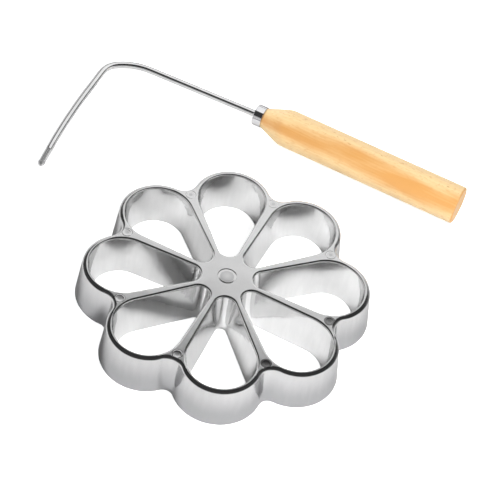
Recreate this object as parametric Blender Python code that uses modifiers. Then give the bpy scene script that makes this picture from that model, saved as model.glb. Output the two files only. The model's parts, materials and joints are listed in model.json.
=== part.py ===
"""Rosette iron: a die-cast flower mould with its handle unscrewed and lying behind it.

The mould rests on its thick base with the thin dipping edge up, one petal along +X. The handle is a
bent steel rod with a threaded tip, a chromed ferrule and a turned wooden grip. Metres, +Z up, and
the table they both rest on is z = 0. The origin is the middle of the pair's outline on that table.
"""

import math

import bmesh
import bpy
from mathutils import Vector

# Fits and cuts
FIT_GAP = 0.0003
CUT_OVERRUN = 0.002
WELD_DISTANCE = 0.00001

# Mould casting, sizes at the dipping edge unless they say base
PETAL_COUNT = 8
MOULD_HEIGHT = 0.0213
LOBE_CENTRE_RADIUS = 0.0486
PETAL_END_RADIUS = 0.0163
PETAL_TIP_CENTRE_RADIUS = 0.0176
PETAL_TIP_RADIUS = 0.00525
RIM_WALL = 0.0026
NOTCH_FILLET_RADIUS = 0.0070
OUTER_DRAFT = 0.0024
INNER_DRAFT = 0.0026
RIM_OUTER_ROUND = 0.0012
RIM_INNER_ROUND = 0.0006

# Hub of the mould, cored out from below round a tapped boss
HUB_WEB = 0.0035
HUB_WALL = 0.0030
BOSS_WALL = 0.0026
BOSS_DRAFT = 0.0005

# Ejector pin marks on the dipping side
HUB_MARK_RADIUS = 0.0044
PIN_CIRCLE_RADIUS = 0.0525
PIN_MARK_RADIUS = 0.0019
PIN_MARK_DEPTH = 0.0002

# Handle rod, measured along its centre line from the end inside the grip
ROD_RADIUS = 0.0018
TANG_LENGTH = 0.0400
SHANK_ANGLE = math.radians(2.3)
SHANK_LENGTH = 0.0605
EASY_BEND_RADIUS = 0.0305
EASY_BEND_ANGLE = math.radians(32.6)
TIGHT_BEND_RADIUS = 0.0109
TIGHT_BEND_ANGLE = math.radians(55.5)
ARM_STRAIGHT_LENGTH = 0.0150
ARM_BOW_RADIUS = 0.354
ARM_BOW_ANGLE = math.radians(6.9)
THREAD_LENGTH = 0.0094
NOSE_FLAT_RADIUS = 0.0006

# Ferrule, a pressed cup over the neck of the grip
FERRULE_RADIUS = 0.0055
FERRULE_LENGTH = 0.0049
FERRULE_WALL = 0.0006
FERRULE_EDGE_ROUND = 0.0003

# Grip
GRIP_RADIUS = 0.0097
GRIP_LENGTH = 0.1094
GRIP_SHOULDER_RADIUS = 0.0053
GRIP_CONE_LENGTH = 0.0118
GRIP_KNEE_ROUND = 0.0120
GRIP_END_ROUND = 0.0010

# Where the handle lies: the ferrule's face from the mould's axis, and the way the grip points
HANDLE_OFFSET_X = 0.0102
HANDLE_OFFSET_Y = 0.1198
HANDLE_HEADING = math.radians(-24.56)

# Smoothness
LOBE_STEPS = 18
NOTCH_STEPS = 6
PETAL_TIP_STEPS = 8
EDGE_STEPS = 3
MARK_SIDES = 24
TURNED_STEPS = 40
ROD_BEVEL_RESOLUTION = 4
BEND_STEPS = 8
SHARP_ANGLE = math.radians(35)

# Finishes: colour, roughness, metallic
CAST_ALUMINIUM = ((0.72, 0.72, 0.73), 0.28, 1.0)
BRIGHT_STEEL = ((0.80, 0.80, 0.81), 0.12, 1.0)
CHROME = ((0.86, 0.87, 0.88), 0.06, 1.0)
PALE_WOOD = ((0.83, 0.58, 0.31), 0.45, 0.0)


def clear_scene():
    for old in list(bpy.data.objects):
        bpy.data.objects.remove(old, do_unlink=True)


def new_collection(name):
    collection = bpy.data.collections.new(name)
    bpy.context.scene.collection.children.link(collection)
    return collection


def finish(name, look):
    colour, roughness, metallic = look
    material = bpy.data.materials.new(name)
    material.use_nodes = True
    shader = material.node_tree.nodes["Principled BSDF"]
    shader.inputs["Base Color"].default_value = (*colour, 1.0)
    shader.inputs["Roughness"].default_value = roughness
    shader.inputs["Metallic"].default_value = metallic
    return material


def new_object(name, data, collection, parent=None):
    made = bpy.data.objects.new(name, data)
    collection.objects.link(made)
    made.parent = parent
    return made


def direction(angle):
    return Vector((math.cos(angle), math.sin(angle)))


def arc_angles(start, end, steps):
    return [start + (end - start) * step / steps for step in range(steps + 1)]


def rounded_corner(before, corner, after, radius):
    """Points of the arc that rounds a corner of a flat profile, from the side of before to after."""
    corner = Vector(corner)
    to_before = (Vector(before) - corner).normalized()
    to_after = (Vector(after) - corner).normalized()
    half = to_before.angle(to_after) / 2
    middle = corner + (to_before + to_after).normalized() * radius / math.sin(half)
    start = corner + to_before * radius / math.tan(half) - middle
    sweep = math.pi - 2 * half
    if to_before.x * to_after.y - to_before.y * to_after.x > 0:
        sweep = -sweep
    first = math.atan2(start.y, start.x)
    return [middle + direction(angle) * radius for angle in arc_angles(first, first + sweep, EDGE_STEPS)]


def turned(name, profile, collection, closed, parent=None):
    """A body turned about Z from (radius, height) points that run down its outer side."""
    mesh = bpy.data.meshes.new(name)
    edges = [(index, index + 1) for index in range(len(profile) - 1)]
    if closed:
        edges.append((len(profile) - 1, 0))
    mesh.from_pydata([(point[0], 0, point[1]) for point in profile], edges, [])
    body = new_object(name, mesh, collection, parent)
    screw = body.modifiers.new("Turn", "SCREW")
    screw.steps = TURNED_STEPS
    screw.render_steps = TURNED_STEPS
    screw.use_merge_vertices = True
    screw.merge_threshold = WELD_DISTANCE
    screw.use_smooth_shade = True
    return body


def loft(name, outline, levels):
    """A closed solid through one flat outline, drawn at each level's height and set out by its offset."""
    shape = bmesh.new()
    rings = []
    for offset, height in levels:
        points = [point + outward * offset for point, outward in outline]
        rings.append([shape.verts.new((point.x, point.y, height)) for point in points])
    count = len(outline)
    for lower, upper in zip(rings, rings[1:]):
        for index in range(count):
            after = (index + 1) % count
            shape.faces.new((lower[index], lower[after], upper[after], upper[index]))
    shape.faces.new(reversed(rings[0]))
    shape.faces.new(rings[-1])
    mesh = bpy.data.meshes.new(name)
    shape.to_mesh(mesh)
    shape.free()
    mesh.shade_smooth()
    mesh.set_sharp_from_angle(angle=SHARP_ANGLE)
    return mesh


def flower_outline():
    """Outer edge of the rim as (point, outward) pairs: lobe arcs joined by notch fillets."""
    lobe_radius = PETAL_END_RADIUS + RIM_WALL
    half_pitch = math.pi / PETAL_COUNT
    across = LOBE_CENTRE_RADIUS * math.sin(half_pitch)
    along = LOBE_CENTRE_RADIUS * math.cos(half_pitch)
    past_lobe = math.sqrt((lobe_radius + NOTCH_FILLET_RADIUS) ** 2 - across**2)
    notch_centre_radius = along + past_lobe
    notch_half_angle = math.atan2(across, past_lobe)
    lobe_half_angle = half_pitch + notch_half_angle
    outline = []
    for petal in range(PETAL_COUNT):
        petal_angle = petal * 2 * half_pitch
        lobe_centre = direction(petal_angle) * LOBE_CENTRE_RADIUS
        for swing in arc_angles(-lobe_half_angle, lobe_half_angle, LOBE_STEPS):
            outward = direction(petal_angle + swing)
            outline.append((lobe_centre + outward * lobe_radius, outward))
        notch_angle = petal_angle + half_pitch
        notch_centre = direction(notch_angle) * notch_centre_radius
        for swing in arc_angles(notch_half_angle, -notch_half_angle, NOTCH_STEPS)[1:-1]:
            inward = -direction(notch_angle + swing)
            outline.append((notch_centre + inward * NOTCH_FILLET_RADIUS, -inward))
    return outline


def petal_outline():
    """Edge of the opening along +X at the rim: a wide outer arc and a small one at the hub."""
    lean = math.asin((PETAL_END_RADIUS - PETAL_TIP_RADIUS) / (LOBE_CENTRE_RADIUS - PETAL_TIP_CENTRE_RADIUS))
    quarter = math.pi / 2 + lean
    outline = []
    for swing in arc_angles(-quarter, quarter, LOBE_STEPS):
        outward = direction(swing)
        outline.append((Vector((LOBE_CENTRE_RADIUS, 0)) + outward * PETAL_END_RADIUS, outward))
    for swing in arc_angles(quarter, 2 * math.pi - quarter, PETAL_TIP_STEPS):
        outward = direction(swing)
        outline.append((Vector((PETAL_TIP_CENTRE_RADIUS, 0)) + outward * PETAL_TIP_RADIUS, outward))
    return outline


def outer_levels():
    """Offset and height up the outer wall: a drafted side, then the rounded edge of the rim."""
    lean = math.atan2(OUTER_DRAFT, MOULD_HEIGHT)
    middle = MOULD_HEIGHT - RIM_OUTER_ROUND
    inset = OUTER_DRAFT - (middle * math.sin(lean) + RIM_OUTER_ROUND) / math.cos(lean)
    levels = [(OUTER_DRAFT, 0)]
    for angle in arc_angles(lean, math.pi / 2, EDGE_STEPS):
        levels.append((inset + RIM_OUTER_ROUND * math.cos(angle), middle + RIM_OUTER_ROUND * math.sin(angle)))
    return levels


def petal_levels():
    """Offset and height up an opening, from below the base to above the rim."""
    lean = math.atan2(INNER_DRAFT, MOULD_HEIGHT)
    middle = MOULD_HEIGHT - RIM_INNER_ROUND
    outset = RIM_INNER_ROUND * (1 - math.sin(lean)) / math.cos(lean)
    levels = [(-INNER_DRAFT - CUT_OVERRUN * math.tan(lean), -CUT_OVERRUN)]
    for angle in arc_angles(lean, math.pi / 2, EDGE_STEPS):
        levels.append((outset - RIM_INNER_ROUND * math.cos(angle), middle + RIM_INNER_ROUND * math.sin(angle)))
    levels.append((outset, MOULD_HEIGHT + CUT_OVERRUN))
    return levels


def cut_petals(cutters, parent):
    mesh = loft("petal_cut", petal_outline(), petal_levels())
    for petal in range(PETAL_COUNT):
        cut = new_object(f"petal_cut_{petal + 1}", mesh, cutters, parent)
        cut.rotation_euler.z = 2 * math.pi * petal / PETAL_COUNT


def cut_hub_core(cutters, parent):
    """The ring-shaped hollow under the hub, its outer wall in step with the hub ends of the petals."""
    socket_radius = ROD_RADIUS + FIT_GAP
    boss_radius = socket_radius + BOSS_WALL
    web_height = MOULD_HEIGHT - HUB_WEB
    petal_draft_at_web = INNER_DRAFT * HUB_WEB / MOULD_HEIGHT
    rim_radius = PETAL_TIP_CENTRE_RADIUS - PETAL_TIP_RADIUS - HUB_WALL
    base_outer = Vector((rim_radius + INNER_DRAFT, 0))
    web_outer = Vector((rim_radius + petal_draft_at_web, web_height))
    base_inner = Vector((boss_radius, 0))
    web_inner = Vector((boss_radius + BOSS_DRAFT, web_height))
    below_outer = base_outer + (base_outer - web_outer) * CUT_OVERRUN / web_height
    below_inner = base_inner + (base_inner - web_inner) * CUT_OVERRUN / web_height
    turned("hub_core_cut", [web_inner, web_outer, below_outer, below_inner], cutters, True, parent)


def cut_disc(name, radius, bottom, top, place, cutters, parent):
    """A round cutter that stands from bottom to top over a place on the mould."""
    shape = bmesh.new()
    bmesh.ops.create_cone(
        shape, cap_ends=True, segments=MARK_SIDES, radius1=radius, radius2=radius, depth=top - bottom
    )
    mesh = bpy.data.meshes.new(name)
    shape.to_mesh(mesh)
    shape.free()
    cut = new_object(name, mesh, cutters, parent)
    cut.location = (place.x, place.y, (bottom + top) / 2)


def cut_socket(cutters, parent):
    """The tapped hole in the boss, as deep as the threaded tip of the handle."""
    depth = THREAD_LENGTH + ROD_RADIUS + FIT_GAP
    cut_disc("socket_cut", ROD_RADIUS + FIT_GAP, -CUT_OVERRUN, depth, Vector((0, 0)), cutters, parent)


def cut_pin_marks(cutters, parent):
    bottom = MOULD_HEIGHT - PIN_MARK_DEPTH
    top = MOULD_HEIGHT + CUT_OVERRUN
    cut_disc("hub_mark_cut", HUB_MARK_RADIUS, bottom, top, Vector((0, 0)), cutters, parent)
    for notch in range(PETAL_COUNT):
        place = direction(2 * math.pi * (notch + 0.5) / PETAL_COUNT) * PIN_CIRCLE_RADIUS
        cut_disc(f"pin_mark_cut_{notch + 1}", PIN_MARK_RADIUS, bottom, top, place, cutters, parent)


def make_mould(parts, cutters, parent):
    mould = new_object("flower_mould", loft("flower_mould", flower_outline(), outer_levels()), parts, parent)
    mould.data.materials.append(finish("cast_aluminium", CAST_ALUMINIUM))
    cut_petals(cutters, parent)
    cut_hub_core(cutters, parent)
    cut_socket(cutters, parent)
    cut_pin_marks(cutters, parent)
    for cutter in cutters.objects:
        cutter.hide_render = True
        cutter.display_type = "WIRE"
    cut = mould.modifiers.new("Openings and marks", "BOOLEAN")
    cut.operation = "DIFFERENCE"
    cut.solver = "EXACT"
    cut.operand_type = "COLLECTION"
    cut.collection = cutters
    return mould


def rod_path():
    """Centre line of the rod in the handle's plane: grip along +X, arm down -Y, tip last."""
    place = Vector((TANG_LENGTH, 0))
    heading = math.pi
    path = [place]

    def straight(length):
        nonlocal place
        place = place + direction(heading) * length
        path.append(place)

    def bend(radius, angle):
        nonlocal place, heading
        chord = 2 * radius * math.sin(angle / BEND_STEPS / 2)
        for _ in range(BEND_STEPS):
            heading += angle / BEND_STEPS / 2
            place = place + direction(heading) * chord
            path.append(place)
            heading += angle / BEND_STEPS / 2

    straight(TANG_LENGTH)
    heading += SHANK_ANGLE
    straight(SHANK_LENGTH)
    bend(EASY_BEND_RADIUS, EASY_BEND_ANGLE)
    bend(TIGHT_BEND_RADIUS, TIGHT_BEND_ANGLE)
    straight(ARM_STRAIGHT_LENGTH)
    bend(ARM_BOW_RADIUS, ARM_BOW_ANGLE)
    straight(THREAD_LENGTH)
    return path


def make_rod(path, parts, parent):
    """A bent wire whose last points draw in to a round nose."""
    along = (path[-1] - path[-2]).normalized()
    stations = [(place, 1.0) for place in path]
    for angle in arc_angles(0, math.acos(NOSE_FLAT_RADIUS / ROD_RADIUS), EDGE_STEPS)[1:]:
        stations.append((path[-1] + along * ROD_RADIUS * math.sin(angle), math.cos(angle)))
    curve = bpy.data.curves.new("handle_rod", "CURVE")
    curve.dimensions = "3D"
    curve.bevel_depth = ROD_RADIUS
    curve.bevel_resolution = ROD_BEVEL_RESOLUTION
    curve.use_fill_caps = True
    curve.materials.append(finish("bright_steel", BRIGHT_STEEL))
    spline = curve.splines.new("POLY")
    spline.points.add(len(stations) - 1)
    spline.use_smooth = True
    for point, (place, radius_share) in zip(spline.points, stations):
        point.co = (place.x, place.y, 0, 1)
        point.radius = radius_share
    return new_object("handle_rod", curve, parts, parent)


def make_ferrule(parts, parent):
    """A pressed cup, mouth up at the grip's shoulder, with the rod's hole through its end."""
    hole_radius = ROD_RADIUS + FIT_GAP
    inner_radius = FERRULE_RADIUS - FERRULE_WALL
    mouth = Vector((FERRULE_RADIUS, FERRULE_LENGTH))
    outer_edge = Vector((FERRULE_RADIUS, 0))
    hole_edge = Vector((hole_radius, 0))
    profile = [mouth]
    profile += rounded_corner(mouth, outer_edge, hole_edge, FERRULE_EDGE_ROUND)
    profile += [
        hole_edge,
        Vector((hole_radius, FERRULE_WALL)),
        Vector((inner_radius, FERRULE_WALL)),
        Vector((inner_radius, FERRULE_LENGTH)),
    ]
    ferrule = turned("ferrule", profile, parts, True, parent)
    ferrule.data.materials.append(finish("chrome", CHROME))
    ferrule.rotation_euler.y = math.pi / 2
    return ferrule


def make_grip(parts, parent):
    """A turned grip: neck inside the ferrule, cone, long barrel and a blind bore for the tang."""
    neck_radius = FERRULE_RADIUS - FERRULE_WALL - FIT_GAP
    neck_height = FERRULE_WALL + FIT_GAP
    shoulder_height = FERRULE_LENGTH + FIT_GAP
    knee_height = shoulder_height + GRIP_CONE_LENGTH
    end_height = shoulder_height + GRIP_LENGTH
    bore_radius = ROD_RADIUS + FIT_GAP
    bore_height = TANG_LENGTH + FIT_GAP
    end_centre = Vector((0, end_height))
    end_edge = Vector((GRIP_RADIUS, end_height))
    knee = Vector((GRIP_RADIUS, knee_height))
    shoulder = Vector((GRIP_SHOULDER_RADIUS, shoulder_height))
    profile = [end_centre]
    profile += rounded_corner(end_centre, end_edge, knee, GRIP_END_ROUND)
    profile += rounded_corner(end_edge, knee, shoulder, GRIP_KNEE_ROUND)
    profile += [
        shoulder,
        Vector((neck_radius, shoulder_height)),
        Vector((neck_radius, neck_height)),
        Vector((bore_radius, neck_height)),
        Vector((bore_radius, bore_height)),
        Vector((0, bore_height)),
    ]
    grip = turned("wooden_grip", profile, parts, False, parent)
    grip.data.materials.append(finish("pale_wood", PALE_WOOD))
    grip.rotation_euler.y = math.pi / 2
    return grip


def make_handle(parts, root):
    """Lays the handle on the table: on the side of its grip and on the tip of its arm."""
    path = rod_path()
    tip_reach = -path[-1].y
    handle = new_object("handle_axis", None, parts, root)
    handle.location = (HANDLE_OFFSET_X, HANDLE_OFFSET_Y, GRIP_RADIUS)
    handle.rotation_euler = (math.asin((GRIP_RADIUS - ROD_RADIUS) / tip_reach), 0, HANDLE_HEADING)
    return [make_rod(path, parts, handle), make_ferrule(parts, handle), make_grip(parts, handle)]


def centre_on_table(root, pieces):
    """Moves the whole set so that the origin is the middle of its outline, on the table."""
    bpy.context.view_layer.update()
    depsgraph = bpy.context.evaluated_depsgraph_get()
    points = []
    for piece in pieces:
        evaluated = piece.evaluated_get(depsgraph)
        mesh = evaluated.to_mesh()
        points += [evaluated.matrix_world @ vertex.co for vertex in mesh.vertices]
        evaluated.to_mesh_clear()
    for axis in (0, 1):
        reach = [point[axis] for point in points]
        root.location[axis] = -(min(reach) + max(reach)) / 2


def main():
    clear_scene()
    parts = new_collection("rosette_iron")
    cutters = new_collection("rosette_iron_cutters")
    root = new_object("rosette_iron_origin", None, parts)
    pieces = [make_mould(parts, cutters, root)]
    pieces += make_handle(parts, root)
    centre_on_table(root, pieces)


main()
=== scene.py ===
"""Rosette iron: the die-cast flower mould stands with its thin dipping edge up, and the handle lies
unscrewed behind it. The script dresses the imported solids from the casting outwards, then sets up the
table, the light and the camera. Metres, +Z up, the table at z = 0.
"""

import json
import math

import bmesh
import bpy
from mathutils import Matrix, Vector

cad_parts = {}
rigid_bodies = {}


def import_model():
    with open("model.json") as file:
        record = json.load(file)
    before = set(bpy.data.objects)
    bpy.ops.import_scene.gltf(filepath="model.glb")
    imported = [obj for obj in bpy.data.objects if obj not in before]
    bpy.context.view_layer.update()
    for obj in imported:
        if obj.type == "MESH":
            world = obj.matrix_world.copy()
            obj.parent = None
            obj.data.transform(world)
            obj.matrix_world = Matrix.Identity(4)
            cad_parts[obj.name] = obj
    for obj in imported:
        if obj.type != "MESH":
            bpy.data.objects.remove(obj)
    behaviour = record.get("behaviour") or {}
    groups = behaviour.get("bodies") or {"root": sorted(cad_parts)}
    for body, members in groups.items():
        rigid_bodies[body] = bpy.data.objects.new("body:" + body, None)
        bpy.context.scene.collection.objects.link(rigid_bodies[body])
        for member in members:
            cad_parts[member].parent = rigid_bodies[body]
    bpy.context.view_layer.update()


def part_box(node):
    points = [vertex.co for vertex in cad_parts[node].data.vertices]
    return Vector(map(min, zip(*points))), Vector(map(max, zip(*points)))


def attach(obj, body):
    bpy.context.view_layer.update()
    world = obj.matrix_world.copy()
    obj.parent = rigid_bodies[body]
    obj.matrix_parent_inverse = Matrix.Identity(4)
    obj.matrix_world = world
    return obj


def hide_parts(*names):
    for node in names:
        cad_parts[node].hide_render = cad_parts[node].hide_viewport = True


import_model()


# Flower mould: one aluminium die casting with eight petal openings round a flat hub. All its walls are
# drafted so that it leaves the die, its upper edge is linished to a soft crown, and nine ejector pins
# have left their round marks on that side. The hub is cored out from below round a tapped boss.
PETAL_COUNT = 8
MOULD_HEIGHT = 0.0213
LOBE_CENTRE_RADIUS = 0.0486
PETAL_END_RADIUS = 0.0163
PETAL_TIP_CENTRE_RADIUS = 0.0176
PETAL_TIP_RADIUS = 0.00525
RIM_WALL = 0.0026
NOTCH_FILLET_RADIUS = 0.0070
OUTER_DRAFT = 0.0024
INNER_DRAFT = 0.0026
CROWN_WIDTH = 0.0034
CROWN_HEIGHT = 0.0012
CROWN_FULL_SHARE = 0.84
NOTCH_CROWN_SHARE = 0.60
PETAL_EDGE_ROUND = 0.0010
BASE_EDGE_ROUND = 0.0003
CUT_OVERRUN = 0.002
WELD_DISTANCE = 0.000002

HUB_WEB = 0.0035
HUB_WALL = 0.0030
SOCKET_RADIUS = 0.0021
SOCKET_THREAD_LENGTH = 0.0112
BOSS_WALL = 0.0026
BOSS_DRAFT = 0.0005
CORE_FLOOR_ROUND = 0.0008

THREAD_PITCH = 0.0007
THREAD_DEPTH = 0.00032
THREAD_FLAT_SHARE = 0.15
THREAD_RINGS_PER_TURN = 10
THREAD_SIDES = 48

# The round marks as rows of radius and depth from their middle out, in millimetres
MARK_UNIT = 0.001
HUB_MARK = (
    (0.1, 0.06), (2.6, 0.08), (3.4, 0.11), (3.9, 0.16), (4.2, 0.24), (4.35, 0.24), (4.5, 0.10),
    (4.6, 0.02), (4.9, -0.02),
)
PIN_MARK = (
    (0.1, 0.10), (1.75, 0.10), (1.95, 0.05), (2.35, 0.04), (2.42, 0.09), (2.5, 0.09), (2.6, 0.02),
    (2.8, -0.02),
)
PIN_CIRCLE_RADIUS = 0.0525

LOBE_STEPS = 64
NOTCH_STEPS = 16
PETAL_TIP_STEPS = 32
CROWN_STEPS = 9
EDGE_STEPS = 6
MARK_SIDES = 64
SHARP_ANGLE = math.radians(40)
FLAT_FACE_WEIGHT = 100


def direction(angle):
    return Vector((math.cos(angle), math.sin(angle)))


def arc_angles(start, end, steps):
    return [start + (end - start) * step / steps for step in range(steps + 1)]


def flower_outline():
    """Outer edge of the rim as (point, outward, crown) rows: lobe arcs joined by notch fillets. The belt
    that linishes the crown doesn't reach into the notches, so the crown narrows there."""
    lobe_radius = PETAL_END_RADIUS + RIM_WALL
    half_pitch = math.pi / PETAL_COUNT
    across = LOBE_CENTRE_RADIUS * math.sin(half_pitch)
    along = LOBE_CENTRE_RADIUS * math.cos(half_pitch)
    past_lobe = math.sqrt((lobe_radius + NOTCH_FILLET_RADIUS) ** 2 - across**2)
    notch_half_angle = math.atan2(across, past_lobe)
    lobe_half_angle = half_pitch + notch_half_angle
    outline = []
    for petal in range(PETAL_COUNT):
        petal_angle = petal * 2 * half_pitch
        lobe_centre = direction(petal_angle) * LOBE_CENTRE_RADIUS
        for swing in arc_angles(-lobe_half_angle, lobe_half_angle, LOBE_STEPS):
            outward = direction(petal_angle + swing)
            past = (abs(swing) / lobe_half_angle - CROWN_FULL_SHARE) / (1 - CROWN_FULL_SHARE)
            past = min(1, max(0, past))
            crown = 1 - (1 - NOTCH_CROWN_SHARE) * past * past * (3 - 2 * past)
            outline.append((lobe_centre + outward * lobe_radius, outward, crown))
        notch_angle = petal_angle + half_pitch
        notch_centre = direction(notch_angle) * (along + past_lobe)
        for swing in arc_angles(notch_half_angle, -notch_half_angle, NOTCH_STEPS)[1:-1]:
            inward = -direction(notch_angle + swing)
            outline.append((notch_centre + inward * NOTCH_FILLET_RADIUS, -inward, NOTCH_CROWN_SHARE))
    return outline


def petal_outline():
    """Edge of the opening along +X as outline rows: a wide outer arc and a small one at the hub."""
    span = LOBE_CENTRE_RADIUS - PETAL_TIP_CENTRE_RADIUS
    quarter = math.pi / 2 + math.asin((PETAL_END_RADIUS - PETAL_TIP_RADIUS) / span)
    outline = []
    for swing in arc_angles(-quarter, quarter, LOBE_STEPS):
        outward = direction(swing)
        outline.append((Vector((LOBE_CENTRE_RADIUS, 0)) + outward * PETAL_END_RADIUS, outward, 1))
    for swing in arc_angles(quarter, 2 * math.pi - quarter, PETAL_TIP_STEPS):
        outward = direction(swing)
        outline.append((Vector((PETAL_TIP_CENTRE_RADIUS, 0)) + outward * PETAL_TIP_RADIUS, outward, 1))
    return outline


def skin(name, rings, closed_ends=True):
    """A mesh over rings of points, each ring as long as the next."""
    shape = bmesh.new()
    made = [[shape.verts.new(point) for point in ring] for ring in rings]
    count = len(rings[0])
    for lower, upper in zip(made, made[1:]):
        for index in range(count):
            after = (index + 1) % count
            shape.faces.new((lower[index], lower[after], upper[after], upper[index]))
    if closed_ends:
        shape.faces.new(reversed(made[0]))
        shape.faces.new(made[-1])
    bmesh.ops.recalc_face_normals(shape, faces=shape.faces)
    mesh = bpy.data.meshes.new(name)
    shape.to_mesh(mesh)
    shape.free()
    return mesh


def loft(name, outline, levels):
    """A closed solid through one flat outline, set out by each level's offset at its height. An inward
    offset is only taken up to the outline's own share."""
    rings = []
    for offset, height in levels:
        ring = []
        for point, outward, share in outline:
            place = point + outward * (offset * share if offset < 0 else offset)
            ring.append((place.x, place.y, height))
        rings.append(ring)
    return skin(name, rings)


def lathe(name, profile, sides, around=False):
    """A body turned about Z from (radius, height) points; around joins the last point to the first."""
    spin = arc_angles(0, 2 * math.pi, sides)[:-1]
    rings = []
    for radius, height in profile:
        rings.append([(radius * math.cos(angle), radius * math.sin(angle), height) for angle in spin])
    if around:
        rings.append(rings[0])
    mesh = skin(name, rings, not around)
    if around:
        shape = bmesh.new()
        shape.from_mesh(mesh)
        bmesh.ops.remove_doubles(shape, verts=shape.verts, dist=WELD_DISTANCE)
        bmesh.ops.recalc_face_normals(shape, faces=shape.faces)
        shape.to_mesh(mesh)
        shape.free()
    return mesh


def quarter_round(centre, radii, start, end, steps):
    """Points of an arc of an ellipse in a profile, from one angle in degrees to another."""
    return [
        (centre[0] + radii[0] * math.cos(angle), centre[1] + radii[1] * math.sin(angle))
        for angle in arc_angles(math.radians(start), math.radians(end), steps)
    ]


def thread_reach(turns):
    """How far a thread stands at a share of a turn: 1 on the flat crest, 0 in the flat root."""
    place = abs(turns % 1 - 0.5) * 2
    return min(1, max(0, (place - THREAD_FLAT_SHARE) / (1 - 2 * THREAD_FLAT_SHARE)))


def new_object(name, data):
    made = bpy.data.objects.new(name, data)
    bpy.context.scene.collection.objects.link(made)
    return made


def cut(body, cutters):
    """Subtracts the cutter meshes, given with their places, and leaves one plain mesh."""
    group = bpy.data.collections.new("cutters")
    bpy.context.scene.collection.children.link(group)
    for mesh, matrix in cutters:
        tool = bpy.data.objects.new("cutter", mesh)
        tool.matrix_world = matrix
        group.objects.link(tool)
    modifier = body.modifiers.new("Cuts", "BOOLEAN")
    modifier.operand_type = "COLLECTION"
    modifier.collection = group
    modifier.solver = "EXACT"
    bpy.context.view_layer.update()
    made = bpy.data.meshes.new_from_object(body.evaluated_get(bpy.context.evaluated_depsgraph_get()))
    body.modifiers.clear()
    body.data = made
    for tool in list(group.objects):
        bpy.data.objects.remove(tool)
    bpy.data.collections.remove(group)


def smooth_faces(piece, matrix):
    """Sets the mesh in its place, with shading that keeps flat faces flat and real corners sharp."""
    piece.data.transform(matrix)
    piece.data.shade_smooth()
    piece.data.set_sharp_from_angle(angle=SHARP_ANGLE)
    weighted = piece.modifiers.new("Flat faces stay flat", "WEIGHTED_NORMAL")
    weighted.keep_sharp = True
    weighted.weight = FLAT_FACE_WEIGHT


def outer_wall():
    """Offset and height up the outside: base edge, drafted wall, then the linished crown."""
    top = MOULD_HEIGHT - CROWN_HEIGHT
    wall_top = OUTER_DRAFT * CROWN_HEIGHT / MOULD_HEIGHT
    base_centre = (OUTER_DRAFT - BASE_EDGE_ROUND, BASE_EDGE_ROUND)
    crown_radii = (CROWN_WIDTH + wall_top, CROWN_HEIGHT)
    base = quarter_round(base_centre, (BASE_EDGE_ROUND, BASE_EDGE_ROUND), -90, 0, EDGE_STEPS)
    crown = quarter_round((-CROWN_WIDTH, top), crown_radii, 0, 90, CROWN_STEPS)
    return base + crown


def petal_wall():
    """Offset and height up an opening, from below the base to above the rim."""
    lean = INNER_DRAFT / MOULD_HEIGHT
    top = MOULD_HEIGHT - PETAL_EDGE_ROUND
    wall_top = -lean * PETAL_EDGE_ROUND
    edge_radii = (PETAL_EDGE_ROUND - wall_top, PETAL_EDGE_ROUND)
    edge = quarter_round((PETAL_EDGE_ROUND, top), edge_radii, 180, 90, EDGE_STEPS)
    base = [(-INNER_DRAFT + BASE_EDGE_ROUND * 2, -CUT_OVERRUN), (-INNER_DRAFT + BASE_EDGE_ROUND, 0)]
    inside = [(-INNER_DRAFT + lean * BASE_EDGE_ROUND, BASE_EDGE_ROUND)]
    return base + inside + edge + [(PETAL_EDGE_ROUND, MOULD_HEIGHT + CUT_OVERRUN)]


def hub_core():
    """The ring-shaped hollow under the hub."""
    web = MOULD_HEIGHT - HUB_WEB
    boss_radius = SOCKET_RADIUS + BOSS_WALL
    wall_radius = PETAL_TIP_CENTRE_RADIUS - PETAL_TIP_RADIUS - HUB_WALL
    floor_radii = (CORE_FLOOR_ROUND, CORE_FLOOR_ROUND)
    inner = (boss_radius + BOSS_DRAFT + CORE_FLOOR_ROUND, web - CORE_FLOOR_ROUND)
    outer = (wall_radius - CORE_FLOOR_ROUND, web - CORE_FLOOR_ROUND)
    profile = [(boss_radius, -CUT_OVERRUN)]
    profile += quarter_round(inner, floor_radii, 180, 90, EDGE_STEPS)
    profile += quarter_round(outer, floor_radii, 90, 0, EDGE_STEPS)
    profile.append((wall_radius + INNER_DRAFT, -CUT_OVERRUN))
    return lathe("hub_core", profile, MARK_SIDES, around=True)


def round_mark(rows):
    """A round mark as a cutter, from its rows of radius and depth."""
    profile = [(radius * MARK_UNIT, MOULD_HEIGHT - depth * MARK_UNIT) for radius, depth in rows]
    profile.append((profile[-1][0], MOULD_HEIGHT + CUT_OVERRUN))
    return lathe("round_mark", profile, MARK_SIDES)


def threaded_socket():
    """The tapped hole as a cutter: a threaded core, root at the outside."""
    rings = []
    turns_up = SOCKET_THREAD_LENGTH / THREAD_PITCH
    for step in range(int(turns_up * THREAD_RINGS_PER_TURN) + 1):
        turns = step / THREAD_RINGS_PER_TURN
        height = turns * THREAD_PITCH - THREAD_PITCH / 2
        ring = []
        for side in range(THREAD_SIDES):
            angle = 2 * math.pi * side / THREAD_SIDES
            radius = SOCKET_RADIUS - THREAD_DEPTH * thread_reach(turns - side / THREAD_SIDES)
            ring.append((radius * math.cos(angle), radius * math.sin(angle), height))
        rings.append(ring)
    return skin("threaded_socket", rings)


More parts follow.
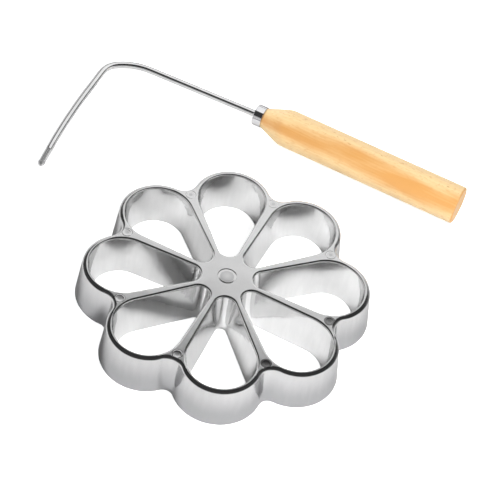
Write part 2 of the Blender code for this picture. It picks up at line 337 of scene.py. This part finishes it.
low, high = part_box("flower_mould")
mould_centre = Vector(((low.x + high.x) / 2, (low.y + high.y) / 2, 0))
mould = new_object("flower_mould_casting", loft("flower_mould_casting", flower_outline(), outer_wall()))
cutters = [(hub_core(), Matrix.Identity(4)), (threaded_socket(), Matrix.Identity(4))]
petal_cut = loft("petal_cut", petal_outline(), petal_wall())
pin_cut = round_mark(PIN_MARK)
for petal in range(PETAL_COUNT):
    turn = Matrix.Rotation(2 * math.pi * petal / PETAL_COUNT, 4, "Z")
    half_turn = Matrix.Rotation(2 * math.pi * (petal + 0.5) / PETAL_COUNT, 4, "Z")
    cutters.append((petal_cut, turn))
    cutters.append((pin_cut, half_turn @ Matrix.Translation((PIN_CIRCLE_RADIUS, 0, 0))))
cutters.append((round_mark(HUB_MARK), Matrix.Identity(4)))
cut(mould, cutters)
smooth_faces(mould, Matrix.Translation(mould_centre))


def node(tree, kind, **settings):
    """Adds a node and sets its own properties, such as its operation."""
    made = tree.nodes.new(kind)
    for key, value in settings.items():
        setattr(made, key, value)
    return made


def feed(tree, made, **inputs):
    """Links or sets a node's inputs, by name in small letters with underscores, or as i0, i1 and so on."""
    names = {socket.name.lower().replace(" ", "_"): socket for socket in reversed(made.inputs)}
    for key, value in inputs.items():
        socket = made.inputs[int(key[1:])] if key[0] == "i" and key[1:].isdigit() else names[key]
        if isinstance(value, bpy.types.NodeSocket):
            tree.links.new(value, socket)
        else:
            socket.default_value = value
    return made


def maths(tree, operation, first, second=0.0, third=0.0):
    made = node(tree, "ShaderNodeMath", operation=operation)
    return feed(tree, made, i0=first, i1=second, i2=third).outputs[0]


def vector_maths(tree, operation, first, second=(0, 0, 0)):
    """One step with vectors. A length, a distance and a dot product come out as a number."""
    made = feed(tree, node(tree, "ShaderNodeVectorMath", operation=operation), i0=first, i1=second)
    gives_number = operation in ("LENGTH", "DISTANCE", "DOT_PRODUCT")
    return made.outputs["Value" if gives_number else "Vector"]


def upward(tree, vector):
    """The Z part of a vector."""
    return feed(tree, node(tree, "ShaderNodeSeparateXYZ"), vector=vector).outputs["Z"]


def ramp(tree, value, low_in, high_in, low_out, high_out):
    """Maps a value smoothly from one range to another, held at its ends."""
    made = node(tree, "ShaderNodeMapRange", interpolation_type="SMOOTHSTEP")
    feed(tree, made, value=value, from_min=low_in, from_max=high_in, to_min=low_out, to_max=high_out)
    return made.outputs[0]


def mix_levels(tree, share, first, second):
    made = node(tree, "ShaderNodeMix", data_type="FLOAT")
    return feed(tree, made, factor=share, i2=first, i3=second).outputs[0]


def blend_colours(tree, share, first, second):
    made = node(tree, "ShaderNodeMix", data_type="RGBA")
    return feed(tree, made, i0=share, i6=first, i7=second).outputs[2]


def relief(tree, height, strength, distance):
    """A Bump node over a height."""
    return feed(tree, node(tree, "ShaderNodeBump"), height=height, strength=strength, distance=distance)


def new_group(name, inputs, outputs):
    """A shader node group with named sockets."""
    tree = bpy.data.node_groups.new(name, "ShaderNodeTree")
    for label, kind, value in inputs:
        socket = tree.interface.new_socket(label, in_out="INPUT", socket_type=kind)
        if value is not None:
            socket.default_value = value
    for label, kind in outputs:
        tree.interface.new_socket(label, in_out="OUTPUT", socket_type=kind)
    return tree, node(tree, "NodeGroupInput").outputs, node(tree, "NodeGroupOutput").inputs


def place_group(tree, group, **inputs):
    """Places a node group and gives its one output."""
    return feed(tree, node(tree, "ShaderNodeGroup", node_tree=group), **inputs).outputs[0]


def local_place(tree, matrix):
    """Coordinates in a piece's own frame, before it was set in its place."""
    place = node(tree, "ShaderNodeTexCoord").outputs["Object"]
    undo = node(tree, "ShaderNodeMapping", vector_type="TEXTURE")
    location, turn, _ = matrix.decompose()
    return feed(tree, undo, vector=place, location=location, rotation=turn.to_euler()).outputs[0]


def new_material(name, piece):
    material = bpy.data.materials.new(name)
    material.use_nodes = True
    piece.data.materials.clear()
    piece.data.materials.append(material)
    tree = material.node_tree
    return tree, tree.nodes["Principled BSDF"]


# Slow changes over a surface, such as the tone of a casting or the shine of a handled rod
CLOUD_NOISE = (0.3, 0.7)
clouds, given, out = new_group(
    "clouds",
    [
        ("Vector", "NodeSocketVector", None),
        ("Scale", "NodeSocketFloat", 40.0),
        ("Low", "NodeSocketFloat", 0.0),
        ("High", "NodeSocketFloat", 1.0),
    ],
    [("Value", "NodeSocketFloat")],
)
noise = node(clouds, "ShaderNodeTexNoise")
feed(clouds, noise, vector=given["Vector"], scale=given["Scale"], detail=3.0)
clouds.links.new(ramp(clouds, noise.outputs[0], *CLOUD_NOISE, given["Low"], given["High"]), out["Value"])

# Hair-fine lines that run along the direction in which the coordinates are squeezed
hairlines, given, out = new_group(
    "hairlines",
    [
        ("Vector", "NodeSocketVector", None),
        ("Squeeze", "NodeSocketVector", (1, 1, 1)),
        ("Scale", "NodeSocketFloat", 1000.0),
    ],
    [("Height", "NodeSocketFloat")],
)
squeezed = vector_maths(hairlines, "MULTIPLY", given["Vector"], given["Squeeze"])
noise = node(hairlines, "ShaderNodeTexNoise")
feed(hairlines, noise, vector=squeezed, scale=given["Scale"], detail=2.0)
hairlines.links.new(noise.outputs[0], out["Height"])

# Cast aluminium: bright inner walls that waver a little and carry lines along the draw, an outer wall
# left as cast and darker towards its base as painted shade, finely blasted lands, and floors in the round
# marks darkened as painted shade, two of them painted dark as a painted reflection. Each _UP pair is how
# far up a face points where an effect starts and is full.
ALUMINIUM = (0.84, 0.84, 0.84, 1.0)
ALUMINIUM_DULL = (0.76, 0.76, 0.76, 1.0)
ALUMINIUM_SKIN_AND_SHADE = (0.46, 0.46, 0.47, 1.0)
GLANCE_GREY = (0.70, 0.70, 0.70, 1.0)
LAND_UP = (0.90, 0.995)
BLASTED_UP = (0.985, 0.9995)
MARK_FLOOR_UP = (0.9970, 0.9993)
MARK_FLOOR_HEIGHTS = (MOULD_HEIGHT - 0.00009, MOULD_HEIGHT - 0.00005)
MARK_FLOOR_SHADE = 0.55
FACES_OUTWARD = (0.1, 0.4)
OUTER_WALL_RADII = (0.030, 0.045)
BASE_SHADE_HEIGHTS = (0.004, 0.021)
AS_CAST_SKIN_AND_BASE_SHADE = (0.95, 0.18)
LINE_NOISE = (0.36, 0.68)
LINE_SKIN = 0.09
WALL_MATT = (0.07, 0.14)
BLASTED_MATT = 0.22
AS_CAST_MATT = 0.08
# These three rows paint two pin-mark floors dark as a painted reflection.
PIN_DARK_REFLECTION = (0.16, 0.16, 0.16, 1.0)
DARK_PIN_RADII = (0.00234, 0.00265)
PINS_PAINTED_DARK = ((math.radians(-22.5), 0.80), (math.radians(-67.5), 0.97))

tree, shader = new_material("cast_aluminium", mould)
place = local_place(tree, Matrix.Translation(mould_centre))
facing = node(tree, "ShaderNodeNewGeometry").outputs["Normal"]
up = upward(tree, facing)
rise = upward(tree, place)
flat = vector_maths(tree, "MULTIPLY", place, (1, 1, 0))
radius = vector_maths(tree, "LENGTH", flat)
outward = maths(tree, "DIVIDE", vector_maths(tree, "DOT_PRODUCT", facing, flat), radius)
outer_face = ramp(tree, outward, *FACES_OUTWARD, 0.0, 1.0)
outer_face = maths(tree, "MULTIPLY", outer_face, ramp(tree, radius, *OUTER_WALL_RADII, 0.0, 1.0))
# Painted shade: the flat floors of the round marks, sunk below the top, are coloured darker as if shaded in
# their recesses.
sunk_shade = ramp(tree, rise, *MARK_FLOOR_HEIGHTS, MARK_FLOOR_SHADE, 0.0)
mark_floor_shade = maths(tree, "MULTIPLY", ramp(tree, up, *MARK_FLOOR_UP, 0.0, 1.0), sunk_shade)

draw_lines = place_group(tree, hairlines, vector=place, squeeze=(1, 1, 0.14), scale=430.0)
blast_grain = place_group(tree, hairlines, vector=place, scale=1900.0)
height = mix_levels(tree, ramp(tree, up, *LAND_UP, 0.0, 1.0), draw_lines, blast_grain)
# The outer wall is left as cast, and darkened further towards its base as painted shade.
as_cast_and_base_shade = maths(tree, "MULTIPLY", outer_face, ramp(tree, rise, *BASE_SHADE_HEIGHTS, *AS_CAST_SKIN_AND_BASE_SHADE))
skin_and_shade_share = maths(tree, "ADD", ramp(tree, height, *LINE_NOISE, LINE_SKIN, 0.0), as_cast_and_base_shade)
skin_and_shade_share = maths(tree, "MAXIMUM", skin_and_shade_share, mark_floor_shade)
colour = blend_colours(tree, place_group(tree, clouds, vector=place, scale=45.0), ALUMINIUM_DULL, ALUMINIUM)
colour = blend_colours(tree, skin_and_shade_share, colour, ALUMINIUM_SKIN_AND_SHADE)
# Painted reflection: two pin-mark floors are painted dark.
for angle, depth in PINS_PAINTED_DARK:
    middle = (*(direction(angle) * PIN_CIRCLE_RADIUS), 0.0)
    painted_dark = ramp(tree, vector_maths(tree, "DISTANCE", flat, middle), *DARK_PIN_RADII, depth, 0.0)
    colour = blend_colours(tree, painted_dark, colour, PIN_DARK_REFLECTION)
feed(tree, shader, base_color=colour, metallic=1.0, specular_tint=GLANCE_GREY)

walls = place_group(tree, clouds, vector=place, scale=90.0, low=WALL_MATT[0], high=WALL_MATT[1])
shine = maths(tree, "ADD", ramp(tree, up, *BLASTED_UP, 0.0, BLASTED_MATT), walls)
shine = maths(tree, "MULTIPLY_ADD", outer_face, AS_CAST_MATT, shine)
wave = relief(tree, place_group(tree, clouds, vector=place, scale=62.0), strength=0.30, distance=0.00040)
bump = feed(tree, relief(tree, height, strength=0.20, distance=0.00005), normal=wave.outputs[0])
feed(tree, shader, roughness=shine, normal=bump.outputs[0])

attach(mould, "mould")
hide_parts("flower_mould")


# Handle rod: one bright steel wire, bent cold to an L and threaded at its tip to screw into the mould's
# boss. Its tang is glued into the grip.
ROD_RADIUS = 0.0018
TANG_LENGTH = 0.0400
SHANK_ANGLE = math.radians(2.3)
SHANK_LENGTH = 0.0605
EASY_BEND_RADIUS = 0.0305
EASY_BEND_ANGLE = math.radians(32.6)
TIGHT_BEND_RADIUS = 0.0109
TIGHT_BEND_ANGLE = math.radians(55.5)
ARM_STRAIGHT_LENGTH = 0.0150
ARM_BOW_RADIUS = 0.354
ARM_BOW_ANGLE = math.radians(6.9)
THREAD_LENGTH = 0.0094
THREAD_RELIEF = 0.0006
NOSE_ANGLE = math.radians(88)
GRIP_RADIUS = 0.0097
HANDLE_OFFSET_X = 0.0102
HANDLE_OFFSET_Y = 0.1198
HANDLE_HEADING = math.radians(-24.56)
BEND_STEPS = 24
NOSE_STEPS = 8
ROD_SIDES = THREAD_SIDES


def rod_stations():
    """Centre line as (place, heading) from the tang's end: grip along +X, arm down -Y, tip last."""
    place = Vector((TANG_LENGTH, 0))
    heading = math.pi
    stations = [(place, heading)]

    def straight(length):
        nonlocal place
        place = place + direction(heading) * length
        stations.append((place, heading))

    def bend(radius, angle):
        nonlocal place, heading
        chord = 2 * radius * math.sin(angle / BEND_STEPS / 2)
        for _ in range(BEND_STEPS):
            heading += angle / BEND_STEPS / 2
            place = place + direction(heading) * chord
            heading += angle / BEND_STEPS / 2
            stations.append((place, heading))

    straight(TANG_LENGTH)
    heading += SHANK_ANGLE
    straight(SHANK_LENGTH)
    bend(EASY_BEND_RADIUS, EASY_BEND_ANGLE)
    bend(TIGHT_BEND_RADIUS, TIGHT_BEND_ANGLE)
    straight(ARM_STRAIGHT_LENGTH)
    bend(ARM_BOW_RADIUS, ARM_BOW_ANGLE)
    return stations


def rod_ring(place, heading, radii):
    """A ring of points square to the rod, one radius for each side."""
    across = direction(heading + math.pi / 2)
    ring = []
    for side, radius in enumerate(radii):
        angle = 2 * math.pi * side / len(radii)
        flat = place + across * radius * math.cos(angle)
        ring.append((flat.x, flat.y, radius * math.sin(angle)))
    return ring


def rod_mesh():
    """The whole rod as one mesh, and the place where its thread ends and its rounded nose starts."""
    stations = rod_stations()
    rings = [rod_ring(place, heading, [ROD_RADIUS] * ROD_SIDES) for place, heading in stations]
    start, heading = stations[-1]
    along = direction(heading)
    pitch_share = 1 / THREAD_RINGS_PER_TURN
    steps = int(THREAD_LENGTH / THREAD_PITCH * THREAD_RINGS_PER_TURN)
    for step in range(1, steps + 1):
        turns = step * pitch_share
        length = turns * THREAD_PITCH
        fade_in = min(1, length / THREAD_RELIEF)
        radii = []
        for side in range(ROD_SIDES):
            root = 1 - thread_reach(turns - side / ROD_SIDES)
            radii.append(ROD_RADIUS - THREAD_DEPTH * root * fade_in)
        rings.append(rod_ring(start + along * length, heading, radii))
    shoulder = ROD_RADIUS - THREAD_DEPTH
    end = start + along * THREAD_LENGTH
    for angle in arc_angles(0, NOSE_ANGLE, NOSE_STEPS):
        radius = shoulder * math.cos(angle)
        rings.append(rod_ring(end + along * ROD_RADIUS * math.sin(angle), heading, [radius] * ROD_SIDES))
    return skin("handle_rod_wire", rings), end


mesh, tip = rod_mesh()
tilt = math.asin((GRIP_RADIUS - ROD_RADIUS) / -tip.y)
handle_place = (
    Matrix.Translation(mould_centre + Vector((HANDLE_OFFSET_X, HANDLE_OFFSET_Y, GRIP_RADIUS)))
    @ Matrix.Rotation(HANDLE_HEADING, 4, "Z")
    @ Matrix.Rotation(tilt, 4, "X")
)
rod = new_object("handle_rod_wire", mesh)
smooth_faces(rod, handle_place)

# Bright steel, drawn and polished, with faint lines along it and slightly duller in places; the turned
# tip is left matt
STEEL = (0.92, 0.92, 0.92, 1.0)
STEEL_DULL = (0.84, 0.84, 0.85, 1.0)
STEEL_GLANCE = (0.25, 0.25, 0.26, 1.0)
TIP_MATT = 0.40
TIP_MATT_REACH = (ROD_RADIUS, ROD_RADIUS * 1.3)

tree, shader = new_material("bright_steel", rod)
place = local_place(tree, handle_place)
colour = blend_colours(tree, place_group(tree, clouds, vector=place, scale=120.0), STEEL_DULL, STEEL)
feed(tree, shader, base_color=colour, metallic=1.0, specular_tint=STEEL_GLANCE)
from_tip = vector_maths(tree, "DISTANCE", place, (*tip, 0.0))
shine = place_group(tree, clouds, vector=place, scale=200.0, low=0.08, high=0.14)
shine = maths(tree, "ADD", shine, ramp(tree, from_tip, *TIP_MATT_REACH, TIP_MATT, 0.0))
lines = place_group(tree, hairlines, vector=place, squeeze=(0.4, 0.4, 1), scale=1500.0)
bump = relief(tree, lines, strength=0.15, distance=0.00002)
feed(tree, shader, roughness=shine, normal=bump.outputs[0])

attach(rod, "handle")
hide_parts("handle_rod")


# Ferrule: a short cup pressed from thin sheet and chromed, with a hole for the rod in its end. It is
# pushed over the neck of the grip and keeps the wood from splitting.
FERRULE_RADIUS = 0.0055
FERRULE_LENGTH = 0.0049
FERRULE_WALL = 0.0006
FERRULE_BEND = 0.0004
FERRULE_HOLE_RADIUS = 0.0021
FERRULE_LIP = 0.00015
FERRULE_LIP_STEPS = 4
TURNED_SIDES = 96
TURNED_EDGE_STEPS = 8

on_handle = handle_place @ Matrix.Rotation(math.pi / 2, 4, "Y")
inner_radius = FERRULE_RADIUS - FERRULE_WALL
lip_radii = (FERRULE_LIP, FERRULE_LIP)
mouth_centre = (FERRULE_RADIUS - FERRULE_LIP, FERRULE_LENGTH - FERRULE_LIP)
bend_centre = (FERRULE_RADIUS - FERRULE_BEND, FERRULE_BEND)
hole_centre = (FERRULE_HOLE_RADIUS + FERRULE_LIP, FERRULE_LIP)
profile = quarter_round(mouth_centre, lip_radii, 90, 0, FERRULE_LIP_STEPS)
profile += quarter_round(bend_centre, (FERRULE_BEND, FERRULE_BEND), 0, -90, TURNED_EDGE_STEPS)
profile += quarter_round(hole_centre, lip_radii, -90, -180, FERRULE_LIP_STEPS)
profile += [(FERRULE_HOLE_RADIUS, FERRULE_WALL), (inner_radius - FERRULE_LIP, FERRULE_WALL)]
profile += [(inner_radius, FERRULE_WALL + FERRULE_LIP), (inner_radius, FERRULE_LENGTH)]
ferrule = new_object("ferrule_cup", lathe("ferrule_cup", profile, TURNED_SIDES, around=True))
smooth_faces(ferrule, on_handle)

# Chrome plate with faint rings left by its polishing
CHROME = (0.96, 0.96, 0.97, 1.0)
CHROME_SHADE = (0.90, 0.90, 0.92, 1.0)
CHROME_GLANCE = (0.02, 0.02, 0.02, 1.0)

tree, shader = new_material("chrome", ferrule)
place = local_place(tree, on_handle)
colour = blend_colours(tree, place_group(tree, clouds, vector=place, scale=300.0), CHROME_SHADE, CHROME)
feed(tree, shader, base_color=colour, metallic=1.0, specular_tint=CHROME_GLANCE)
shine = place_group(tree, clouds, vector=place, scale=500.0, low=0.04, high=0.08)
lines = place_group(tree, hairlines, vector=place, squeeze=(0.05, 0.05, 1), scale=4000.0)
bump = relief(tree, lines, strength=0.1, distance=0.00001)
feed(tree, shader, roughness=shine, normal=bump.outputs[0])

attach(ferrule, "handle")
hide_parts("ferrule")


# Grip: one piece of pale, close-grained wood, turned to a short cone and a long barrel, sanded and
# waxed. Its neck sits in the ferrule and a blind bore takes the rod's tang.
FIT_GAP = 0.0003
GRIP_LENGTH = 0.1094
GRIP_SHOULDER_RADIUS = 0.0053
GRIP_CONE_LENGTH = 0.0118
GRIP_KNEE_ROUND = 0.0120
GRIP_END_ROUND = 0.0010
CENTRE_RADIUS = 0.000042
BARREL_STEPS = 24
KNEE_STEPS = 12


def rounded_corner(before, corner, after, radius, steps):
    """Points of the arc that rounds a corner of a profile, from the side of before to after."""
    corner = Vector(corner)
    to_before = (Vector(before) - corner).normalized()
    to_after = (Vector(after) - corner).normalized()
    half = to_before.angle(to_after) / 2
    middle = corner + (to_before + to_after).normalized() * radius / math.sin(half)
    start = corner + to_before * radius / math.tan(half) - middle
    sweep = math.pi - 2 * half
    if to_before.x * to_after.y - to_before.y * to_after.x > 0:
        sweep = -sweep
    first = math.atan2(start.y, start.x)
    return [tuple(middle + direction(angle) * radius) for angle in arc_angles(first, first + sweep, steps)]


shoulder_height = FERRULE_LENGTH + FIT_GAP
shoulder = (GRIP_SHOULDER_RADIUS, shoulder_height)
knee = (GRIP_RADIUS, shoulder_height + GRIP_CONE_LENGTH)
end = shoulder_height + GRIP_LENGTH
neck_radius = inner_radius - FIT_GAP
neck_end = FERRULE_WALL + FIT_GAP
bore_radius = ROD_RADIUS + FIT_GAP
bore_end = TANG_LENGTH + FIT_GAP
profile = [(CENTRE_RADIUS, end)]
profile += rounded_corner((0, end), (GRIP_RADIUS, end), knee, GRIP_END_ROUND, TURNED_EDGE_STEPS)
profile += [(GRIP_RADIUS, end + (knee[1] - end) * step / BARREL_STEPS) for step in range(1, BARREL_STEPS)]
profile += rounded_corner((GRIP_RADIUS, end), knee, shoulder, GRIP_KNEE_ROUND, KNEE_STEPS)
profile += [shoulder, (neck_radius, shoulder_height), (neck_radius, neck_end)]
profile += [(bore_radius, neck_end), (bore_radius, bore_end), (CENTRE_RADIUS, bore_end)]
grip = new_object("wooden_grip_barrel", lathe("wooden_grip_barrel", profile, TURNED_SIDES))
smooth_faces(grip, on_handle)

# Pale wood, close and even: faint growth rings far from the pith, the side that faces the camera painted
# honey-dark as painted shade, the end darker as end grain and painted shade, short fine pores along the
# grain and a few dark flecks
WOOD_PALE = (0.98, 0.72, 0.38, 1.0)
WOOD_HONEY = (0.78, 0.39, 0.12, 1.0)
WOOD_PORE = (0.74, 0.37, 0.12, 1.0)
WOOD_FLECK = (0.50, 0.20, 0.05, 1.0)
WOOD_SHEEN = (1.0, 0.80, 0.52, 1.0)
PITH = (0.018, -0.030, 0.0)
RING_SPACING = 0.0016
RING_WANDER = 0.003
RING_DEPTH = 0.05
# The side that faces the camera is painted honey-dark as painted shade; the end is darker as end grain and
# painted shade.
PAINTED_SHADE_SIDE = (-0.720, -0.694, 0)
PAINTED_SHADE_PATCHES = 0.70
PAINTED_SHADE_REACH = (1.02, 1.50)
PAINTED_SHADE_FULL = 1.15
END_GRAIN_AND_SHADE = (end - 0.0012, end - 0.0001)
FIBRE_DEPTH = 0.36
FIBRE_MIDDLE = 0.14
PORE_NOISE = (0.53, 0.72)
PORE_DEPTH = 0.42
FLECK_SIDE = (-0.99, 0.13, 0)
FLECK_ROW = (0.00925, 0.00955)
FLECK_ELSEWHERE = 0.06
FLECK_NOISE = (0.62, 0.72)
FLECK_DEPTH = 0.50
WOOD_MATT = 0.34
FIBRE_MATT = 0.20

tree, shader = new_material("pale_wood", grip)
place = local_place(tree, on_handle)
from_pith = vector_maths(tree, "MULTIPLY", vector_maths(tree, "SUBTRACT", place, PITH), (1, 1, 0))
wander = place_group(tree, clouds, vector=place, scale=14.0, low=0.0, high=RING_WANDER)
ring_place = maths(tree, "ADD", vector_maths(tree, "LENGTH", from_pith), wander)
rings = maths(tree, "SINE", maths(tree, "MULTIPLY", ring_place, 2 * math.pi / RING_SPACING))

# Painted shade: a honey-dark band along the side that faces the camera, and a darker end as end grain and
# painted shade.
around = vector_maths(tree, "NORMALIZE", vector_maths(tree, "MULTIPLY", place, (1, 1, 0)))
patches = place_group(tree, hairlines, vector=place, squeeze=(1, 1, 0.20), scale=110.0)
side = vector_maths(tree, "DOT_PRODUCT", around, PAINTED_SHADE_SIDE)
shade_and_end_grain = maths(tree, "MULTIPLY_ADD", patches, PAINTED_SHADE_PATCHES, side)
shade_and_end_grain = ramp(tree, shade_and_end_grain, *PAINTED_SHADE_REACH, 0.0, PAINTED_SHADE_FULL)
shade_and_end_grain = maths(tree, "MAXIMUM", shade_and_end_grain, ramp(tree, upward(tree, place), *END_GRAIN_AND_SHADE, 0.0, 1.0))

fibres = place_group(tree, hairlines, vector=place, squeeze=(1, 1, 0.05), scale=1500.0)
tone = maths(tree, "MULTIPLY_ADD", rings, RING_DEPTH, shade_and_end_grain)
tone = maths(tree, "MULTIPLY_ADD", fibres, FIBRE_DEPTH, maths(tree, "SUBTRACT", tone, FIBRE_MIDDLE))
tone = feed(tree, node(tree, "ShaderNodeClamp"), value=tone).outputs[0]
wood = blend_colours(tree, tone, WOOD_PALE, WOOD_HONEY)
pores = place_group(tree, hairlines, vector=place, squeeze=(1, 1, 0.28), scale=1350.0)
wood = blend_colours(tree, ramp(tree, pores, *PORE_NOISE, 0.0, PORE_DEPTH), wood, WOOD_PORE)
flecks = place_group(tree, hairlines, vector=place, squeeze=(1, 1, 0.55), scale=950.0)
fleck_row = ramp(tree, vector_maths(tree, "DOT_PRODUCT", place, FLECK_SIDE), *FLECK_ROW, FLECK_ELSEWHERE, 1.0)
fleck_share = maths(tree, "MULTIPLY", fleck_row, ramp(tree, flecks, *FLECK_NOISE, 0.0, FLECK_DEPTH))
wood = blend_colours(tree, fleck_share, wood, WOOD_FLECK)
feed(tree, shader, base_color=wood, metallic=0.0)

shine = maths(tree, "MULTIPLY_ADD", fibres, FIBRE_MATT, WOOD_MATT)
bump = relief(tree, fibres, strength=0.25, distance=0.00005)
feed(tree, shader, roughness=shine, normal=bump.outputs[0], coat_weight=0.15, coat_roughness=0.25)
feed(tree, shader, sheen_weight=0.25, sheen_roughness=0.45, sheen_tint=WOOD_SHEEN)

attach(grip, "handle")
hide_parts("wooden_grip")


# Table: a matt white sheet that runs on under everything. It takes the light and the soft shadow of the
# object, and camera rays see it glow on top of that up to white, the more so farther out. Mirrored and
# transmitted rays see only a little of the glow.
FLOOR_HALF_WIDTH = 3.0
FLOOR_DROP = 0.00005
FLOOR_WHITE = (0.82, 0.82, 0.82, 1.0)
FLOOR_GLOW_REACH = (0.20, 0.80)
FLOOR_GLOW = (0.84, 0.93)
FLOOR_GLOW_MIRRORED = 0.02

edge = FLOOR_HALF_WIDTH
corners = [(-edge, -edge, 0), (edge, -edge, 0), (edge, edge, 0), (-edge, edge, 0)]
floor_mesh = bpy.data.meshes.new("table")
floor_mesh.from_pydata(corners, [], [(0, 1, 2, 3)])
floor = new_object("table", floor_mesh)
floor.location.z = -FLOOR_DROP
tree, shader = new_material("table_white", floor)
rays = node(tree, "ShaderNodeLightPath").outputs
mirrored = maths(tree, "MAXIMUM", rays["Is Glossy Ray"], rays["Is Transmission Ray"])
distance = vector_maths(tree, "LENGTH", node(tree, "ShaderNodeTexCoord").outputs["Object"])
seen = ramp(tree, distance, *FLOOR_GLOW_REACH, *FLOOR_GLOW)
glow = maths(tree, "MULTIPLY", mirrored, FLOOR_GLOW_MIRRORED)
glow = maths(tree, "MULTIPLY_ADD", rays["Is Camera Ray"], seen, glow)
feed(tree, shader, base_color=FLOOR_WHITE, roughness=0.9, specular_ior_level=0.1)
feed(tree, shader, emission_color=(1, 1, 1, 1), emission_strength=glow)


# Light: a round softbox hangs low behind the mould and shows in its reflections, in a studio that is
# dark above and pale round the horizon. Three lamps light the matt surfaces: the main one at the right,
# and two weak ones at the left and behind. A lamp's row is its name, its azimuth and elevation in
# degrees, and how bright it makes the table.
SOFTBOX_SIZE = 0.36
SOFTBOX_HEIGHT = 0.20
SOFTBOX_X = 0.04
SOFTBOX_EDGE_Y = 0.092
SOFTBOX_RADIANCE = 0.86
LAMP_SIZE = 0.12
LAMP_DISTANCE = 0.42
LAMPS = (("right_lamp", -46, 60, 0.86), ("left_lamp", -155, 22, 0.10), ("back_lamp", 100, 25, 0.12))

softbox_light = bpy.data.lights.new("softbox", "AREA")
softbox_light.shape = "DISK"
softbox_light.size = SOFTBOX_SIZE
softbox_light.energy = SOFTBOX_RADIANCE * math.pi * math.pi * SOFTBOX_SIZE**2 / 4
softbox = new_object("softbox", softbox_light)
softbox.location = mould_centre + Vector((SOFTBOX_X, SOFTBOX_EDGE_Y + SOFTBOX_SIZE / 2, SOFTBOX_HEIGHT))
softbox.visible_camera = False
softbox.visible_diffuse = False


def hang_lamp(name, azimuth, elevation, level):
    """A round lamp aimed at the mould, given by how bright it makes the table. Its twin stands for the
    light that the polished walls throw on to the table. No reflection shows either."""
    swing, lift = math.radians(azimuth), math.radians(elevation)
    toward = Vector((*(direction(swing) * math.cos(lift)), math.sin(lift)))
    for twin in (False, True):
        light = bpy.data.lights.new(name, "AREA")
        light.shape = "DISK"
        light.size = LAMP_SIZE
        light.energy = level * math.pi**2 * LAMP_DISTANCE**2 / math.sin(lift)
        lamp = new_object(name + "_thrown" * twin, light)
        lamp.location = mould_centre + toward * LAMP_DISTANCE
        lamp.rotation_euler = toward.to_track_quat("Z", "Y").to_euler()
        lamp.visible_camera = False
        lamp.visible_glossy = twin
        lamp.visible_diffuse = not twin
        if twin:
            light.use_nodes = True
            tree = light.node_tree
            depth = node(tree, "ShaderNodeLightPath").outputs["Diffuse Depth"]
            feed(tree, tree.nodes["Emission"], strength=maths(tree, "GREATER_THAN", depth, 0.5))


for lamp_row in LAMPS:
    hang_lamp(*lamp_row)

# The studio round it, as mirrored rays see it: a pale band above the horizon, a grey screen in front
# and a dark stand at the right. All other rays find a plain fill that is strong only near the horizon.
# Bands are in degrees above the horizon, edges in degrees from a patch's middle.
HORIZON_WHITE = 1.0
ROOM_DARK = 0.04
PALE_BAND = (16, 32)
SCREEN_SIDE = (-0.3, -0.95, 0.1)
SCREEN_EDGE = (35, 70)
SCREEN_BAND = (17.46, 30)
SCREEN_GREY = 0.5
STAND_SIDE = (0.95, 0.25, 0.15)
STAND_EDGE = (12, 32)
STAND_DARK = 0.15
FILL_BAND = (6, 20)
FILL_LOW = 2.00
FILL_HIGH = 0.01

world = bpy.data.worlds.new("studio")
bpy.context.scene.world = world
world.use_nodes = True
tree = world.node_tree
toward = node(tree, "ShaderNodeTexCoord").outputs["Generated"]
rays = node(tree, "ShaderNodeLightPath").outputs


def by_rise(band, low_level, high_level):
    """A level that changes between two angles above the horizon."""
    start, stop = (math.sin(math.radians(angle)) for angle in band)
    return ramp(tree, upward(tree, toward), start, stop, low_level, high_level)


def patch_share(side, edge):
    """How much a direction lies in a round patch of the studio, its edge soft between two angles."""
    inner, outer = (math.cos(math.radians(angle)) for angle in edge)
    dot = vector_maths(tree, "DOT_PRODUCT", toward, Vector(side).normalized())
    return ramp(tree, dot, outer, inner, 0.0, 1.0)


level = by_rise(PALE_BAND, HORIZON_WHITE, ROOM_DARK)
screen = by_rise(SCREEN_BAND, SCREEN_GREY, ROOM_DARK)
level = mix_levels(tree, patch_share(SCREEN_SIDE, SCREEN_EDGE), level, screen)
level = mix_levels(tree, patch_share(STAND_SIDE, STAND_EDGE), level, STAND_DARK)
level = mix_levels(tree, rays["Is Glossy Ray"], by_rise(FILL_BAND, FILL_LOW, FILL_HIGH), level)
level = maths(tree, "MAXIMUM", level, rays["Is Camera Ray"])
feed(tree, tree.nodes["Background"], color=(1, 1, 1, 1), strength=level)


# Camera: stands before the mould, 49 degrees above the table, turned a little about its own axis. The
# lens and the sensor are in millimetres.
CAMERA_ELEVATION = math.radians(48.882)
CAMERA_ROLL = math.radians(10.713)
CAMERA_AZIMUTH = math.radians(-5.697)
CAMERA_AIM = (0.00819, 0.01848, MOULD_HEIGHT)
CAMERA_DISTANCE = 0.8883
CAMERA_LENS = 135.474
CAMERA_SENSOR = 36
NEAREST_SEEN = 0.01
FARTHEST_SEEN = 20

camera_data = bpy.data.cameras.new("camera")
camera_data.sensor_width = CAMERA_SENSOR
camera_data.lens = CAMERA_LENS
camera_data.clip_start = NEAREST_SEEN
camera_data.clip_end = FARTHEST_SEEN
camera = new_object("camera", camera_data)
camera.matrix_world = (
    Matrix.Translation(mould_centre)
    @ Matrix.Rotation(CAMERA_AZIMUTH, 4, "Z")
    @ Matrix.Translation(CAMERA_AIM)
    @ Matrix.Rotation(math.pi / 2 - CAMERA_ELEVATION, 4, "X")
    @ Matrix.Rotation(CAMERA_ROLL, 4, "Z")
    @ Matrix.Translation((0, 0, CAMERA_DISTANCE))
)
bpy.context.scene.camera = camera
bpy.context.scene.view_settings.view_transform = "Standard"
